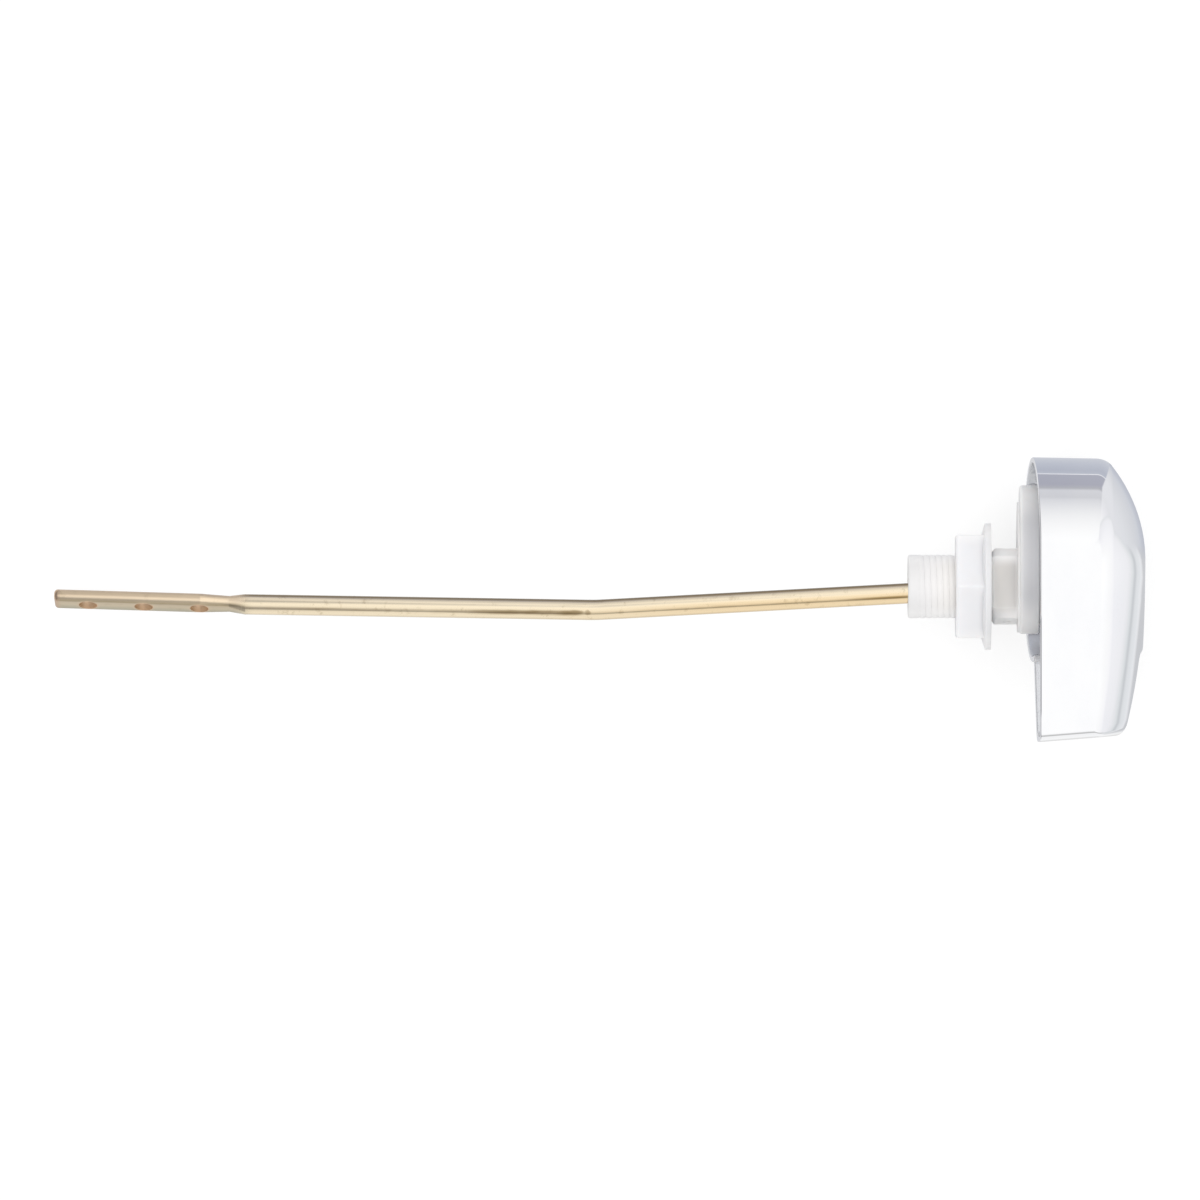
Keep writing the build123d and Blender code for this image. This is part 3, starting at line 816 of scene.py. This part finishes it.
# rays that see the background: camera, glossy and transmission rays
def seenRays(tree):
    names = ("Is Camera Ray", "Is Glossy Ray", "Is Transmission Ray")
    camera, glossy, through = (Wire(tree).node("ShaderNodeLightPath", out=name) for name in names)
    return camera.most(glossy).most(through)


def makeFloor():
    look = stageLook
    material, start = bareFinish("paleFloor")
    plain = start.node("ShaderNodeBsdfDiffuse", None, {"Color": look["floorColour"]})
    shown = start.node("ShaderNodeBsdfDiffuse", None, {"Color": look["floorShown"]})
    glow = start.node("ShaderNodeEmission", None, {"Strength": look["floorGlow"]})
    bright = start.node("ShaderNodeAddShader", None, {0: shown, 1: glow})
    either = start.node("ShaderNodeMixShader", None, {0: seenRays(start.tree), 1: plain, 2: bright})
    start.node("ShaderNodeOutputMaterial", None, {"Surface": either})
    bm = bmesh.new()
    bmesh.ops.create_grid(bm, x_segments=1, y_segments=1, size=look["floorHalf"])
    bmesh.ops.translate(bm, verts=bm.verts, vec=(0, 0, cadBox[0][2] - look["floorDrop"]))
    floor = placeMesh(bm, "floor", [material])
    floor.visible_glossy = False


# light tent that only the metal's reflections show; its tones go by level, or by how the shaded floor climbs
tentLook = {
    "radius": 0.7, "around": 48, "rings": 24, "poleGuard": 1e-6,  # the guard stops a division by nothing
    "slant": 0.72, "climbFrom": -0.75, "climbSpan": 1.75,  # the shaded floor climbs away from the east
    "cornerBand": (0.02, 0.15), "floorBand": (0.16, 0.21),
    "panelSlope": 0.38, "panelStart": 0.75, "panelMost": 0.93, "panelBand": (0.0, 0.03),  # north panel's end
    "southBand": (0.25, 0.75), "westBand": (0.3, 0.6), "topBand": (0.945, 0.98), "top": (1.06, 1.06, 1.06),
    "north": [(0.0, (0.63, 0.65, 0.70)), (0.13, (0.55, 0.575, 0.645)), (0.25, (0.49, 0.515, 0.59)),
              (0.301, (0.52, 0.545, 0.62)), (0.3115, (1.0, 1.0, 1.02)), (0.321, (0.44, 0.45, 0.52)),
              (0.47, (0.43, 0.435, 0.505)), (0.52, (0.48, 0.485, 0.52)), (0.55, (0.69, 0.695, 0.73)),
              (0.635, (0.66, 0.665, 0.695)), (0.66, (0.73, 0.735, 0.765)), (0.81, (0.92, 0.922, 0.93)),
              (0.92, (1.03, 1.03, 1.03)), (1.0, (1.1, 1.1, 1.1))],
    "east": [(0.40, (0.60, 0.61, 0.63)), (0.449, (0.62, 0.63, 0.65)), (0.458, (0.78, 0.785, 0.80)),
             (0.466, (0.85, 0.86, 0.88)), (0.481, (0.80, 0.82, 0.84)), (0.498, (0.77, 0.79, 0.81)),
             (0.507, (0.70, 0.72, 0.74)), (0.513, (0.61, 0.63, 0.655)), (0.519, (0.63, 0.65, 0.67)),
             (0.531, (0.76, 0.785, 0.80)), (0.547, (0.845, 0.85, 0.87)), (0.564, (0.90, 0.90, 0.925)),
             (0.629, (0.945, 0.945, 0.97)), (0.691, (0.985, 0.98, 1.0)), (0.857, (1.03, 1.03, 1.03)),
             (1.0, (1.1, 1.1, 1.1))],
    "corner": [(0.0, (0.50, 0.52, 0.58)), (0.03, (0.54, 0.56, 0.625)), (0.055, (0.58, 0.605, 0.665)),
               (0.08, (0.645, 0.665, 0.715)), (0.11, (0.67, 0.685, 0.725)), (0.15, (0.70, 0.71, 0.745)),
               (0.2, (0.735, 0.745, 0.775)), (0.25, (0.765, 0.775, 0.805)), (0.33, (0.80, 0.805, 0.835)),
               (0.5, (0.81, 0.815, 0.845)), (0.6, (0.80, 0.805, 0.83)), (0.69, (0.845, 0.845, 0.875)),
               (0.8, (0.93, 0.93, 0.945)), (0.92, (1.02, 1.02, 1.02)), (1.0, (1.1, 1.1, 1.1))],
    "west": [(0.0, (0.69, 0.695, 0.72)), (0.06, (0.74, 0.745, 0.765)), (0.3, (1.0, 1.0, 1.0)),
             (0.42, (0.6, 0.6, 0.62)), (0.5, (0.34, 0.34, 0.36)), (0.85, (0.34, 0.34, 0.36)),
             (0.95, (1.0, 1.0, 1.0)), (1.0, (1.1, 1.1, 1.1))],
    "south": [(0.0, (0.74, 0.74, 0.74)), (0.12, (0.78, 0.78, 0.77)), (0.234, (1.0, 1.0, 1.0)),
              (0.458, (0.97, 0.97, 0.97)), (0.475, (0.80, 0.80, 0.80)), (0.495, (0.54, 0.54, 0.54)),
              (0.522, (0.54, 0.54, 0.54)), (0.542, (0.78, 0.78, 0.78)), (0.562, (1.0, 1.0, 1.0)),
              (0.6, (1.05, 1.05, 1.05))],
}


def tentFinish():
    look = tentLook
    material, start = bareFinish("tentCloth")
    place = start.node("ShaderNodeTexCoord", out="Object")
    way = place.node("ShaderNodeVectorMath", {"operation": "NORMALIZE"}, {0: place})
    x, y, z = (way.part(letter) for letter in "XYZ")
    flat = (x * x + y * y + look["poleGuard"]).root()
    side = y / flat
    level = z * 0.5 + 0.5
    slanted = level - abs(side) * look["slant"]
    climb = (slanted - look["climbFrom"]) / look["climbSpan"]
    north, corner, west = (level.ramp(look[name]) for name in ("north", "corner", "west"))
    east, south = (climb.ramp(look[name]) for name in ("east", "south"))
    tone = side.band(*look["cornerBand"]).blend(east, corner)
    tone = slanted.band(*look["floorBand"]).blend(tone, east)
    panelEnd = (level * look["panelSlope"] + look["panelStart"]).least(look["panelMost"])
    tone = (side - panelEnd).band(*look["panelBand"]).blend(tone, north)
    tone = (0 - side).band(*look["southBand"]).blend(tone, south)
    tone = (0 - x / flat).band(*look["westBand"]).blend(tone, west)
    tone = level.band(*look["topBand"]).blend(tone, look["top"])
    glow = start.node("ShaderNodeEmission", None, {"Color": tone, "Strength": 1.0})
    start.node("ShaderNodeOutputMaterial", None, {"Surface": glow})
    return material


def makeTent():
    look = tentLook
    bm = bmesh.new()
    bmesh.ops.create_uvsphere(bm, u_segments=look["around"], v_segments=look["rings"], radius=look["radius"])
    for face in bm.faces:
        face.smooth = True
    bmesh.ops.reverse_faces(bm, faces=bm.faces)
    tent = placeMesh(bm, "lightTent", [tentFinish()])
    tent.visible_camera = False
    tent.visible_diffuse = False
    tent.visible_shadow = False
    tent.visible_transmission = False


def makeLight():
    look = stageLook
    world = bpy.data.worlds.new("paleRoom")
    scene.world = world
    world.use_nodes = True
    tree = world.node_tree
    backdrop = tree.nodes["Background"]
    strength = seenRays(tree) * (1 - look["worldFill"]) + look["worldFill"]
    setFinish(backdrop, {"Color": (1, 1, 1, 1), "Strength": strength})
    lamp = bpy.data.lights.new("overheadPanel", "AREA")
    lamp.size = look["lampSize"]
    lamp.energy = look["lampPower"]
    panel = bpy.data.objects.new("overheadPanel", lamp)
    panel.location = look["lampPlace"]
    panel.visible_camera = False
    panel.visible_glossy = False
    scene.collection.objects.link(panel)


makeFloor()
makeTent()
makeLight()
print("stage set")

cameraPlace = {"x": -0.1022, "y": -0.0033, "away": 5.0, "frame": 0.294, "sensor": 36.0}
camera = bpy.data.cameras.new("photoCamera")
camera.sensor_width = cameraPlace["sensor"]
camera.lens = cameraPlace["sensor"] * cameraPlace["away"] / cameraPlace["frame"]
viewer = bpy.data.objects.new("photoCamera", camera)
viewer.location = (cameraPlace["x"], cameraPlace["y"], cameraPlace["away"])
scene.collection.objects.link(viewer)
scene.camera = viewer
print("camera placed")
